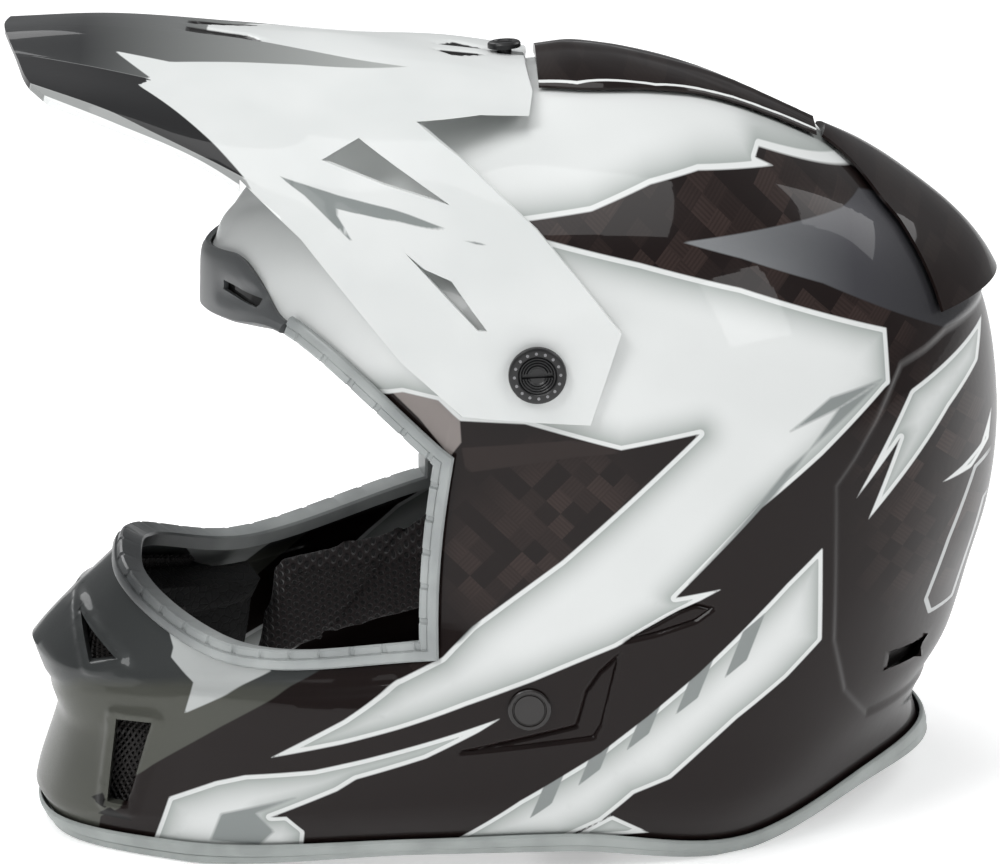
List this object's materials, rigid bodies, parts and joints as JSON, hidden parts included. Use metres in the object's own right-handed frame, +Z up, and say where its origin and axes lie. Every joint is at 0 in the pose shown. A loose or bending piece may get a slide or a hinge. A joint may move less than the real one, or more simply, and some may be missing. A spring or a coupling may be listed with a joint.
{
  "type": "motocross helmet",
  "caption": "Off-road full-face helmet with an open eye port, a long tilting visor peak, chin-bar vents, a crown fin and a rear spoiler.",
  "frame": {"origin": "middle of the bounding box's base; the helmet stands on z = 0", "axes": "+Z up, the helmet faces -Y, its left side is +X; the mirror plane is x = 0"},
  "size_m": [0.2598, 0.367, 0.2982],
  "materials": {
    "painted_shell": "clear-coated composite with painted graphics",
    "painted_peak": "gloss moulded plastic with painted graphics",
    "grey_rubber": "matte extruded rubber",
    "silver_rubber": "satin ribbed rubber",
    "dark_plastic": "fine moulded texture",
    "screw_plastic": "satin with turned rings",
    "black_gloss": "clear coat over woven fibre",
    "vent_mesh": "punched mesh",
    "eps_foam": "moulded bead foam",
    "comfort_fabric": "spacer mesh and brushed fabric over foam",
    "strap_webbing": "woven webbing",
    "steel": "plated",
    "screw_metal": "satin",
    "rivet_cap": "gloss domed cap"
  },
  "bodies": {
    "helmet": {"shell": "painted_shell", "base_trim": "grey_rubber", "eyeport_trim": "silver_rubber", "brow_vent": "dark_plastic", "chin_mesh_upper_left": "vent_mesh", "chin_mesh_upper_right": "vent_mesh", "chin_mesh_lower_left": "vent_mesh", "chin_mesh_lower_right": "vent_mesh", "rear_louvre_left": "dark_plastic", "rear_louvre_right": "dark_plastic", "mouth_filter": "vent_mesh", "eps_liner": "eps_foam", "neck_roll": "comfort_fabric", "chin_foam": "eps_foam", "cheek_stud_front_left": "steel", "cheek_stud_front_right": "steel", "cheek_stud_rear_left": "steel", "cheek_stud_rear_right": "steel", "crown_fin": "black_gloss", "rear_spoiler": "black_gloss", "side_washer_left": "dark_plastic", "side_washer_right": "dark_plastic", "side_insert_left": "steel", "side_insert_right": "steel", "top_insert": "steel", "strap_short": "strap_webbing", "strap_long": "strap_webbing", "strap_rivet_left": "rivet_cap", "strap_rivet_right": "rivet_cap", "strap_plate_left": "steel", "strap_plate_right": "steel", "strap_snap": "steel"},
    "peak": {"peak": "painted_peak"},
    "side_screw_left": {"side_screw_left": "screw_plastic"},
    "side_screw_right": {"side_screw_right": "screw_plastic"},
    "top_screw": {"top_screw": "screw_metal"},
    "d_ring_upper": {"d_ring_upper": "steel"},
    "d_ring_lower": {"d_ring_lower": "steel"},
    "cheek_pad_left": {"cheek_pad_left": "comfort_fabric"},
    "cheek_pad_right": {"cheek_pad_right": "comfort_fabric"},
    "crown_pad": {"crown_pad": "comfort_fabric"}
  },
  "joints": [
    {"name": "peak_tilt", "type": "hinge", "parent": "helmet", "child": "peak", "pos_m": [0, 0.013, 0.189], "axis": [1, 0, 0], "range_deg": [0, 6]},
    {"name": "side_screw_left_turn", "type": "hinge", "parent": "helmet", "child": "side_screw_left", "pos_m": [0, 0.013, 0.189], "axis": [1, 0, 0], "continuous": true},
    {"name": "side_screw_right_turn", "type": "hinge", "parent": "helmet", "child": "side_screw_right", "pos_m": [0, 0.013, 0.189], "axis": [-1, 0, 0], "continuous": true},
    {"name": "top_screw_turn", "type": "hinge", "parent": "helmet", "child": "top_screw", "pos_m": [0, 0.0095, 0.27], "axis": [0, 0, 1], "continuous": true},
    {"name": "d_ring_upper_swing", "type": "hinge", "parent": "helmet", "child": "d_ring_upper", "pos_m": [0.033, 0.004, 0.017], "axis": [0, 1, 0], "range_deg": [0, 55]},
    {"name": "d_ring_lower_swing", "type": "hinge", "parent": "helmet", "child": "d_ring_lower", "pos_m": [0.033, 0.004, 0.0126], "axis": [0, 1, 0], "range_deg": [-14, 0]},
    {"name": "cheek_pad_left_unsnap", "type": "slide", "parent": "helmet", "child": "cheek_pad_left", "axis": [-1, 0, 0], "range_m": [0, 0.008]},
    {"name": "cheek_pad_right_unsnap", "type": "slide", "parent": "helmet", "child": "cheek_pad_right", "axis": [1, 0, 0], "range_m": [0, 0.008]},
    {"name": "crown_pad_unsnap", "type": "slide", "parent": "helmet", "child": "crown_pad", "axis": [0, 0, -1], "range_m": [0, 0.006]}
  ]
}
